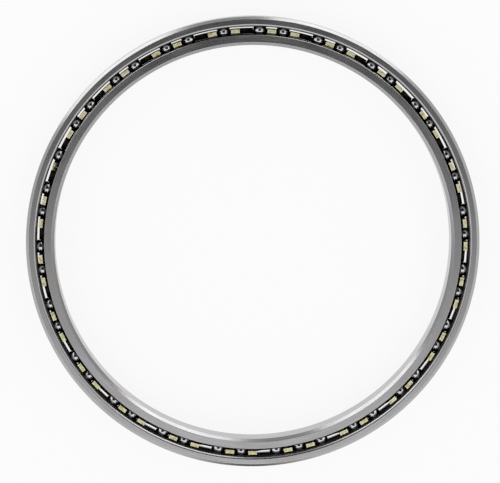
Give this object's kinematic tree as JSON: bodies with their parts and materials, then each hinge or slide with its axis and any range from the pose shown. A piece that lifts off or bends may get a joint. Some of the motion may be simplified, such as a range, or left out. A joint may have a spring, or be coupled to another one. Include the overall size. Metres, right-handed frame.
{
  "type": "thin section ball bearing",
  "caption": "Thin ring-shaped ball bearing: two grooved steel races, a brass snap-over cage and polished balls, open on both sides, with a large plain bore.",
  "frame": {"origin": "on the bearing's axis, at the lower side face of the outer race, on which it lies", "axes": "+Z along the bearing's axis, towards the open front of the cage"},
  "size_m": [0.1016, 0.1016, 0.0063],
  "materials": {
    "race_steel": "satin",
    "ball_steel": "polished",
    "cage_brass": "satin"
  },
  "bodies": {
    "outer_race": {"outer_race": "race_steel"},
    "inner_race": {"inner_race": "race_steel"},
    "cage": {"cage": "cage_brass"},
    "ball_01": {"ball_01": "ball_steel"},
    "ball_02": {"ball_02": "ball_steel"},
    "ball_03": {"ball_03": "ball_steel"},
    "ball_04": {"ball_04": "ball_steel"},
    "ball_05": {"ball_05": "ball_steel"},
    "ball_06": {"ball_06": "ball_steel"},
    "ball_07": {"ball_07": "ball_steel"},
    "ball_08": {"ball_08": "ball_steel"},
    "ball_09": {"ball_09": "ball_steel"},
    "ball_10": {"ball_10": "ball_steel"},
    "ball_11": {"ball_11": "ball_steel"},
    "ball_12": {"ball_12": "ball_steel"},
    "ball_13": {"ball_13": "ball_steel"},
    "ball_14": {"ball_14": "ball_steel"},
    "ball_15": {"ball_15": "ball_steel"},
    "ball_16": {"ball_16": "ball_steel"},
    "ball_17": {"ball_17": "ball_steel"},
    "ball_18": {"ball_18": "ball_steel"},
    "ball_19": {"ball_19": "ball_steel"},
    "ball_20": {"ball_20": "ball_steel"},
    "ball_21": {"ball_21": "ball_steel"},
    "ball_22": {"ball_22": "ball_steel"},
    "ball_23": {"ball_23": "ball_steel"},
    "ball_24": {"ball_24": "ball_steel"},
    "ball_25": {"ball_25": "ball_steel"},
    "ball_26": {"ball_26": "ball_steel"},
    "ball_27": {"ball_27": "ball_steel"},
    "ball_28": {"ball_28": "ball_steel"},
    "ball_29": {"ball_29": "ball_steel"},
    "ball_30": {"ball_30": "ball_steel"},
    "ball_31": {"ball_31": "ball_steel"},
    "ball_32": {"ball_32": "ball_steel"},
    "ball_33": {"ball_33": "ball_steel"},
    "ball_34": {"ball_34": "ball_steel"},
    "ball_35": {"ball_35": "ball_steel"},
    "ball_36": {"ball_36": "ball_steel"},
    "ball_37": {"ball_37": "ball_steel"},
    "ball_38": {"ball_38": "ball_steel"},
    "ball_39": {"ball_39": "ball_steel"},
    "ball_40": {"ball_40": "ball_steel"},
    "ball_41": {"ball_41": "ball_steel"},
    "ball_42": {"ball_42": "ball_steel"},
    "ball_43": {"ball_43": "ball_steel"},
    "ball_44": {"ball_44": "ball_steel"},
    "ball_45": {"ball_45": "ball_steel"}
  },
  "joints": [
    {"name": "inner_race_spin", "type": "hinge", "parent": "outer_race", "child": "inner_race", "pos_m": [0, 0, 0.00317], "axis": [0, 0, 1], "continuous": true},
    {"name": "cage_orbit", "type": "hinge", "parent": "outer_race", "child": "cage", "pos_m": [0, 0, 0.00317], "axis": [0, 0, 1], "continuous": true},
    {"name": "ball_01_spin", "type": "hinge", "parent": "cage", "child": "ball_01", "pos_m": [-0.04328, 0.01987, 0.00317], "axis": [0, 0, 1], "continuous": true},
    {"name": "ball_02_spin", "type": "hinge", "parent": "cage", "child": "ball_02", "pos_m": [-0.03932, 0.02687, 0.00317], "axis": [0, 0, 1], "continuous": true},
    {"name": "ball_03_spin", "type": "hinge", "parent": "cage", "child": "ball_03", "pos_m": [-0.03617, 0.03098, 0.00317], "axis": [0, 0, 1], "continuous": true},
    {"name": "ball_04_spin", "type": "hinge", "parent": "cage", "child": "ball_04", "pos_m": [-0.03044, 0.03663, 0.00317], "axis": [0, 0, 1], "continuous": true},
    {"name": "ball_05_spin", "type": "hinge", "parent": "cage", "child": "ball_05", "pos_m": [-0.02628, 0.03972, 0.00317], "axis": [0, 0, 1], "continuous": true},
    {"name": "ball_06_spin", "type": "hinge", "parent": "cage", "child": "ball_06", "pos_m": [-0.01922, 0.04358, 0.00317], "axis": [0, 0, 1], "continuous": true},
    {"name": "ball_07_spin", "type": "hinge", "parent": "cage", "child": "ball_07", "pos_m": [-0.01437, 0.04541, 0.00317], "axis": [0, 0, 1], "continuous": true},
    {"name": "ball_08_spin", "type": "hinge", "parent": "cage", "child": "ball_08", "pos_m": [-0.00652, 0.04718, 0.00317], "axis": [0, 0, 1], "continuous": true},
    {"name": "ball_09_spin", "type": "hinge", "parent": "cage", "child": "ball_09", "pos_m": [0.00152, 0.0476, 0.00317], "axis": [0, 0, 1], "continuous": true},
    {"name": "ball_10_spin", "type": "hinge", "parent": "cage", "child": "ball_10", "pos_m": [0.00668, 0.04715, 0.00317], "axis": [0, 0, 1], "continuous": true},
    {"name": "ball_11_spin", "type": "hinge", "parent": "cage", "child": "ball_11", "pos_m": [0.01452, 0.04536, 0.00317], "axis": [0, 0, 1], "continuous": true},
    {"name": "ball_12_spin", "type": "hinge", "parent": "cage", "child": "ball_12", "pos_m": [0.01936, 0.04351, 0.00317], "axis": [0, 0, 1], "continuous": true},
    {"name": "ball_13_spin", "type": "hinge", "parent": "cage", "child": "ball_13", "pos_m": [0.02641, 0.03963, 0.00317], "axis": [0, 0, 1], "continuous": true},
    {"name": "ball_14_spin", "type": "hinge", "parent": "cage", "child": "ball_14", "pos_m": [0.03056, 0.03653, 0.00317], "axis": [0, 0, 1], "continuous": true},
    {"name": "ball_15_spin", "type": "hinge", "parent": "cage", "child": "ball_15", "pos_m": [0.03628, 0.03086, 0.00317], "axis": [0, 0, 1], "continuous": true},
    {"name": "ball_16_spin", "type": "hinge", "parent": "cage", "child": "ball_16", "pos_m": [0.03941, 0.02674, 0.00317], "axis": [0, 0, 1], "continuous": true},
    {"name": "ball_17_spin", "type": "hinge", "parent": "cage", "child": "ball_17", "pos_m": [0.04335, 0.01972, 0.00317], "axis": [0, 0, 1], "continuous": true},
    {"name": "ball_18_spin", "type": "hinge", "parent": "cage", "child": "ball_18", "pos_m": [0.04524, 0.01489, 0.00317], "axis": [0, 0, 1], "continuous": true},
    {"name": "ball_19_spin", "type": "hinge", "parent": "cage", "child": "ball_19", "pos_m": [0.0471, 0.00706, 0.00317], "axis": [0, 0, 1], "continuous": true},
    {"name": "ball_20_spin", "type": "hinge", "parent": "cage", "child": "ball_20", "pos_m": [0.04759, 0.00191, 0.00317], "axis": [0, 0, 1], "continuous": true},
    {"name": "ball_21_spin", "type": "hinge", "parent": "cage", "child": "ball_21", "pos_m": [0.04723, -0.00613, 0.00317], "axis": [0, 0, 1], "continuous": true},
    {"name": "ball_22_spin", "type": "hinge", "parent": "cage", "child": "ball_22", "pos_m": [0.04628, -0.01123, 0.00317], "axis": [0, 0, 1], "continuous": true},
    {"name": "ball_23_spin", "type": "hinge", "parent": "cage", "child": "ball_23", "pos_m": [0.04373, -0.01886, 0.00317], "axis": [0, 0, 1], "continuous": true},
    {"name": "ball_24_spin", "type": "hinge", "parent": "cage", "child": "ball_24", "pos_m": [0.04142, -0.0235, 0.00317], "axis": [0, 0, 1], "continuous": true},
    {"name": "ball_25_spin", "type": "hinge", "parent": "cage", "child": "ball_25", "pos_m": [0.03688, -0.03014, 0.00317], "axis": [0, 0, 1], "continuous": true},
    {"name": "ball_26_spin", "type": "hinge", "parent": "cage", "child": "ball_26", "pos_m": [0.03338, -0.03396, 0.00317], "axis": [0, 0, 1], "continuous": true},
    {"name": "ball_27_spin", "type": "hinge", "parent": "cage", "child": "ball_27", "pos_m": [0.02719, -0.0391, 0.00317], "axis": [0, 0, 1], "continuous": true},
    {"name": "ball_28_spin", "type": "hinge", "parent": "cage", "child": "ball_28", "pos_m": [0.02278, -0.04182, 0.00317], "axis": [0, 0, 1], "continuous": true},
    {"name": "ball_29_spin", "type": "hinge", "parent": "cage", "child": "ball_29", "pos_m": [0.01541, -0.04506, 0.00317], "axis": [0, 0, 1], "continuous": true},
    {"name": "ball_30_spin", "type": "hinge", "parent": "cage", "child": "ball_30", "pos_m": [0.01043, -0.04647, 0.00317], "axis": [0, 0, 1], "continuous": true},
    {"name": "ball_31_spin", "type": "hinge", "parent": "cage", "child": "ball_31", "pos_m": [0.00532, -0.04733, 0.00317], "axis": [0, 0, 1], "continuous": true},
    {"name": "ball_32_spin", "type": "hinge", "parent": "cage", "child": "ball_32", "pos_m": [-0.00272, -0.04755, 0.00317], "axis": [0, 0, 1], "continuous": true},
    {"name": "ball_33_spin", "type": "hinge", "parent": "cage", "child": "ball_33", "pos_m": [-0.00787, -0.04697, 0.00317], "axis": [0, 0, 1], "continuous": true},
    {"name": "ball_34_spin", "type": "hinge", "parent": "cage", "child": "ball_34", "pos_m": [-0.01567, -0.04497, 0.00317], "axis": [0, 0, 1], "continuous": true},
    {"name": "ball_35_spin", "type": "hinge", "parent": "cage", "child": "ball_35", "pos_m": [-0.02046, -0.04301, 0.00317], "axis": [0, 0, 1], "continuous": true},
    {"name": "ball_36_spin", "type": "hinge", "parent": "cage", "child": "ball_36", "pos_m": [-0.02741, -0.03895, 0.00317], "axis": [0, 0, 1], "continuous": true},
    {"name": "ball_37_spin", "type": "hinge", "parent": "cage", "child": "ball_37", "pos_m": [-0.03148, -0.03574, 0.00317], "axis": [0, 0, 1], "continuous": true},
    {"name": "ball_38_spin", "type": "hinge", "parent": "cage", "child": "ball_38", "pos_m": [-0.03705, -0.02993, 0.00317], "axis": [0, 0, 1], "continuous": true},
    {"name": "ball_39_spin", "type": "hinge", "parent": "cage", "child": "ball_39", "pos_m": [-0.04008, -0.02573, 0.00317], "axis": [0, 0, 1], "continuous": true},
    {"name": "ball_40_spin", "type": "hinge", "parent": "cage", "child": "ball_40", "pos_m": [-0.04384, -0.01861, 0.00317], "axis": [0, 0, 1], "continuous": true},
    {"name": "ball_41_spin", "type": "hinge", "parent": "cage", "child": "ball_41", "pos_m": [-0.0456, -0.01374, 0.00317], "axis": [0, 0, 1], "continuous": true},
    {"name": "ball_42_spin", "type": "hinge", "parent": "cage", "child": "ball_42", "pos_m": [-0.04726, -0.00587, 0.00317], "axis": [0, 0, 1], "continuous": true},
    {"name": "ball_43_spin", "type": "hinge", "parent": "cage", "child": "ball_43", "pos_m": [-0.04762, -0.0007, 0.00317], "axis": [0, 0, 1], "continuous": true},
    {"name": "ball_44_spin", "type": "hinge", "parent": "cage", "child": "ball_44", "pos_m": [-0.04706, 0.00733, 0.00317], "axis": [0, 0, 1], "continuous": true},
    {"name": "ball_45_spin", "type": "hinge", "parent": "cage", "child": "ball_45", "pos_m": [-0.04598, 0.0124, 0.00317], "axis": [0, 0, 1], "continuous": true}
  ],
  "couplings": [
    {"joint": "cage_orbit", "follows": "inner_race_spin", "ratio": 0.48333},
    {"joint": "ball_01_spin", "follows": "inner_race_spin", "ratio": -14.983},
    {"joint": "ball_02_spin", "follows": "inner_race_spin", "ratio": -14.983},
    {"joint": "ball_03_spin", "follows": "inner_race_spin", "ratio": -14.983},
    {"joint": "ball_04_spin", "follows": "inner_race_spin", "ratio": -14.983},
    {"joint": "ball_05_spin", "follows": "inner_race_spin", "ratio": -14.983},
    {"joint": "ball_06_spin", "follows": "inner_race_spin", "ratio": -14.983},
    {"joint": "ball_07_spin", "follows": "inner_race_spin", "ratio": -14.983},
    {"joint": "ball_08_spin", "follows": "inner_race_spin", "ratio": -14.983},
    {"joint": "ball_09_spin", "follows": "inner_race_spin", "ratio": -14.983},
    {"joint": "ball_10_spin", "follows": "inner_race_spin", "ratio": -14.983},
    {"joint": "ball_11_spin", "follows": "inner_race_spin", "ratio": -14.983},
    {"joint": "ball_12_spin", "follows": "inner_race_spin", "ratio": -14.983},
    {"joint": "ball_13_spin", "follows": "inner_race_spin", "ratio": -14.983},
    {"joint": "ball_14_spin", "follows": "inner_race_spin", "ratio": -14.983},
    {"joint": "ball_15_spin", "follows": "inner_race_spin", "ratio": -14.983},
    {"joint": "ball_16_spin", "follows": "inner_race_spin", "ratio": -14.983},
    {"joint": "ball_17_spin", "follows": "inner_race_spin", "ratio": -14.983},
    {"joint": "ball_18_spin", "follows": "inner_race_spin", "ratio": -14.983},
    {"joint": "ball_19_spin", "follows": "inner_race_spin", "ratio": -14.983},
    {"joint": "ball_20_spin", "follows": "inner_race_spin", "ratio": -14.983},
    {"joint": "ball_21_spin", "follows": "inner_race_spin", "ratio": -14.983},
    {"joint": "ball_22_spin", "follows": "inner_race_spin", "ratio": -14.983},
    {"joint": "ball_23_spin", "follows": "inner_race_spin", "ratio": -14.983},
    {"joint": "ball_24_spin", "follows": "inner_race_spin", "ratio": -14.983},
    {"joint": "ball_25_spin", "follows": "inner_race_spin", "ratio": -14.983},
    {"joint": "ball_26_spin", "follows": "inner_race_spin", "ratio": -14.983},
    {"joint": "ball_27_spin", "follows": "inner_race_spin", "ratio": -14.983},
    {"joint": "ball_28_spin", "follows": "inner_race_spin", "ratio": -14.983},
    {"joint": "ball_29_spin", "follows": "inner_race_spin", "ratio": -14.983},
    {"joint": "ball_30_spin", "follows": "inner_race_spin", "ratio": -14.983},
    {"joint": "ball_31_spin", "follows": "inner_race_spin", "ratio": -14.983},
    {"joint": "ball_32_spin", "follows": "inner_race_spin", "ratio": -14.983},
    {"joint": "ball_33_spin", "follows": "inner_race_spin", "ratio": -14.983},
    {"joint": "ball_34_spin", "follows": "inner_race_spin", "ratio": -14.983},
    {"joint": "ball_35_spin", "follows": "inner_race_spin", "ratio": -14.983},
    {"joint": "ball_36_spin", "follows": "inner_race_spin", "ratio": -14.983},
    {"joint": "ball_37_spin", "follows": "inner_race_spin", "ratio": -14.983},
    {"joint": "ball_38_spin", "follows": "inner_race_spin", "ratio": -14.983},
    {"joint": "ball_39_spin", "follows": "inner_race_spin", "ratio": -14.983},
    {"joint": "ball_40_spin", "follows": "inner_race_spin", "ratio": -14.983},
    {"joint": "ball_41_spin", "follows": "inner_race_spin", "ratio": -14.983},
    {"joint": "ball_42_spin", "follows": "inner_race_spin", "ratio": -14.983},
    {"joint": "ball_43_spin", "follows": "inner_race_spin", "ratio": -14.983},
    {"joint": "ball_44_spin", "follows": "inner_race_spin", "ratio": -14.983},
    {"joint": "ball_45_spin", "follows": "inner_race_spin", "ratio": -14.983}
  ]
}
